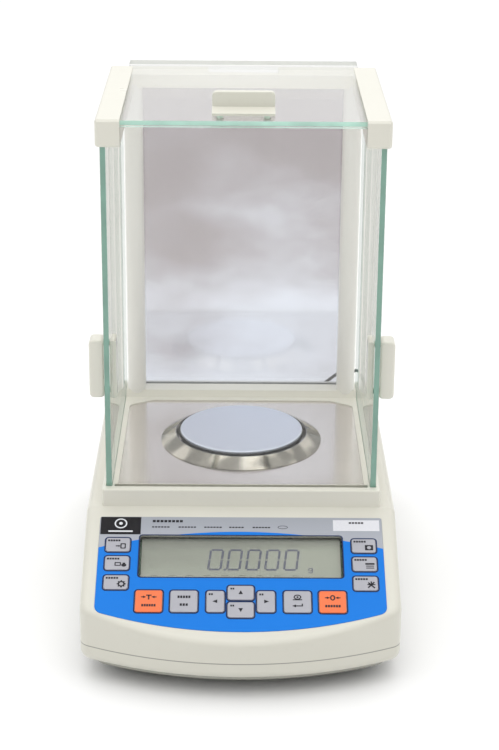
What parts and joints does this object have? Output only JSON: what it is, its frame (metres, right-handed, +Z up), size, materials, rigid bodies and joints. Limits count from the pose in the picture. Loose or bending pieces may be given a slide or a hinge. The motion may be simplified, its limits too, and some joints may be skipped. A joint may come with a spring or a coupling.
{
  "type": "analytical balance",
  "caption": "Laboratory balance with a sloping control panel and a glass draft shield whose lid and side doors slide open, a round pan in a wind ring, and levelling feet.",
  "frame": {"origin": "on the bench under the centre of the housing", "axes": "+X to the user's right, +Y to the rear, +Z up"},
  "size_m": [0.206, 0.4265, 0.3605],
  "materials": {
    "ivory_plastic": "moulded ABS, satin, warm ivory",
    "ivory_frame": "moulded ABS, semi-gloss",
    "ivory_metal": "powder-coated tube",
    "glass": "clear float glass with green polished edges",
    "foil": "printed polyester foil, fine satin",
    "lens": "clear acrylic",
    "lcd": "reflective liquid crystal display",
    "key_orange": "satin orange",
    "key_grey": "satin light grey",
    "board": "circuit board",
    "black_plastic": "moulded, black",
    "port_steel": "nickel-plated shell",
    "vial": "acrylic bubble level",
    "aluminium": "machined",
    "magnet_steel": "turned, plated",
    "pan_steel": "finely satin stainless",
    "ring_steel": "polished stainless",
    "floor_steel": "bright stainless sheet",
    "zinc_screw": "zinc-plated",
    "foot_rubber": "hard rubber",
    "cord": "PVC jacket, black"
  },
  "bodies": {
    "housing": {"base_plate": "aluminium", "lower_housing": "ivory_plastic", "upper_housing": "ivory_plastic", "base_screws": "zinc_screw", "control_overlay": "foil", "display_window": "lens", "lcd_module": "lcd", "key_board": "board", "main_board": "board", "power_inlet": "black_plastic", "data_ports": "port_steel", "level_vial": "vial", "cell_body": "aluminium", "cell_magnet": "magnet_steel", "cell_coil_beam": "aluminium", "calibration_weight": "magnet_steel", "pan_carrier": "aluminium", "shield_frame": "ivory_frame", "floor_plate": "floor_steel", "left_rail": "ivory_frame", "right_rail": "ivory_frame", "columns": "ivory_metal", "rear_crossbeam": "ivory_frame", "front_pane": "glass", "rear_pane": "glass", "cord_plug": "black_plastic", "power_cord": "cord", "cord_coil": "cord", "power_adapter": "black_plastic"},
    "lid": {"lid_glass": "glass", "lid_grip": "ivory_frame", "lid_screws": "zinc_screw"},
    "left_door": {"left_door_glass": "glass", "left_door_outer_grip": "ivory_frame", "left_door_inner_grip": "ivory_frame", "left_door_screws": "zinc_screw"},
    "right_door": {"right_door_glass": "glass", "right_door_outer_grip": "ivory_frame", "right_door_inner_grip": "ivory_frame", "right_door_screws": "zinc_screw"},
    "pan": {"weighing_pan": "pan_steel"},
    "ring": {"wind_ring": "ring_steel"},
    "key_left_1": {"key_left_1": "key_grey"},
    "key_left_2": {"key_left_2": "key_grey"},
    "key_left_3": {"key_left_3": "key_grey"},
    "key_left_tare": {"key_left_tare": "key_orange"},
    "key_left_menu": {"key_left_menu": "key_grey"},
    "key_left_arrow": {"key_left_arrow": "key_grey"},
    "key_right_1": {"key_right_1": "key_grey"},
    "key_right_2": {"key_right_2": "key_grey"},
    "key_right_3": {"key_right_3": "key_grey"},
    "key_right_tare": {"key_right_tare": "key_orange"},
    "key_right_menu": {"key_right_menu": "key_grey"},
    "key_right_arrow": {"key_right_arrow": "key_grey"},
    "key_up_arrow": {"key_up_arrow": "key_grey"},
    "key_down_arrow": {"key_down_arrow": "key_grey"},
    "foot_front_left": {"foot_front_left": "foot_rubber"},
    "foot_front_right": {"foot_front_right": "foot_rubber"},
    "foot_rear_left": {"foot_rear_left": "foot_rubber"},
    "foot_rear_right": {"foot_rear_right": "foot_rubber"}
  },
  "joints": [
    {"name": "lid_slide", "type": "slide", "parent": "housing", "child": "lid", "axis": [0, 1, 0], "range_m": [0, 0.13]},
    {"name": "left_door_slide", "type": "slide", "parent": "housing", "child": "left_door", "axis": [0, 1, 0], "range_m": [0, 0.13]},
    {"name": "right_door_slide", "type": "slide", "parent": "housing", "child": "right_door", "axis": [0, 1, 0], "range_m": [0, 0.13]},
    {"name": "pan_lift", "type": "slide", "parent": "housing", "child": "pan", "axis": [0, 0, 1], "range_m": [0, 0.06]},
    {"name": "ring_lift", "type": "slide", "parent": "housing", "child": "ring", "axis": [0, 0, 1], "range_m": [0, 0.05]},
    {"name": "key_left_1_press", "type": "slide", "parent": "housing", "child": "key_left_1", "axis": [0, 0.4226, -0.9063], "range_m": [0, 0.0004], "stiffness_N_per_m": 1500},
    {"name": "key_left_2_press", "type": "slide", "parent": "housing", "child": "key_left_2", "axis": [0, 0.4226, -0.9063], "range_m": [0, 0.0004], "stiffness_N_per_m": 1500},
    {"name": "key_left_3_press", "type": "slide", "parent": "housing", "child": "key_left_3", "axis": [0, 0.4226, -0.9063], "range_m": [0, 0.0004], "stiffness_N_per_m": 1500},
    {"name": "key_left_tare_press", "type": "slide", "parent": "housing", "child": "key_left_tare", "axis": [0, 0.4226, -0.9063], "range_m": [0, 0.0004], "stiffness_N_per_m": 1500},
    {"name": "key_left_menu_press", "type": "slide", "parent": "housing", "child": "key_left_menu", "axis": [0, 0.4226, -0.9063], "range_m": [0, 0.0004], "stiffness_N_per_m": 1500},
    {"name": "key_left_arrow_press", "type": "slide", "parent": "housing", "child": "key_left_arrow", "axis": [0, 0.4226, -0.9063], "range_m": [0, 0.0004], "stiffness_N_per_m": 1500},
    {"name": "key_right_1_press", "type": "slide", "parent": "housing", "child": "key_right_1", "axis": [0, 0.4226, -0.9063], "range_m": [0, 0.0004], "stiffness_N_per_m": 1500},
    {"name": "key_right_2_press", "type": "slide", "parent": "housing", "child": "key_right_2", "axis": [0, 0.4226, -0.9063], "range_m": [0, 0.0004], "stiffness_N_per_m": 1500},
    {"name": "key_right_3_press", "type": "slide", "parent": "housing", "child": "key_right_3", "axis": [0, 0.4226, -0.9063], "range_m": [0, 0.0004], "stiffness_N_per_m": 1500},
    {"name": "key_right_tare_press", "type": "slide", "parent": "housing", "child": "key_right_tare", "axis": [0, 0.4226, -0.9063], "range_m": [0, 0.0004], "stiffness_N_per_m": 1500},
    {"name": "key_right_menu_press", "type": "slide", "parent": "housing", "child": "key_right_menu", "axis": [0, 0.4226, -0.9063], "range_m": [0, 0.0004], "stiffness_N_per_m": 1500},
    {"name": "key_right_arrow_press", "type": "slide", "parent": "housing", "child": "key_right_arrow", "axis": [0, 0.4226, -0.9063], "range_m": [0, 0.0004], "stiffness_N_per_m": 1500},
    {"name": "key_up_arrow_press", "type": "slide", "parent": "housing", "child": "key_up_arrow", "axis": [0, 0.4226, -0.9063], "range_m": [0, 0.0004], "stiffness_N_per_m": 1500},
    {"name": "key_down_arrow_press", "type": "slide", "parent": "housing", "child": "key_down_arrow", "axis": [0, 0.4226, -0.9063], "range_m": [0, 0.0004], "stiffness_N_per_m": 1500},
    {"name": "foot_front_left_turn", "type": "hinge", "parent": "housing", "child": "foot_front_left", "pos_m": [-0.07, -0.11247, 0.009], "axis": [0, 0, 1], "range_deg": [-360, 360]},
    {"name": "foot_front_right_turn", "type": "hinge", "parent": "housing", "child": "foot_front_right", "pos_m": [0.07, -0.11247, 0.009], "axis": [0, 0, 1], "range_deg": [-360, 360]},
    {"name": "foot_rear_left_turn", "type": "hinge", "parent": "housing", "child": "foot_rear_left", "pos_m": [-0.07, 0.11847, 0.009], "axis": [0, 0, 1], "range_deg": [-360, 360]},
    {"name": "foot_rear_right_turn", "type": "hinge", "parent": "housing", "child": "foot_rear_right", "pos_m": [0.07, 0.11847, 0.009], "axis": [0, 0, 1], "range_deg": [-360, 360]}
  ]
}
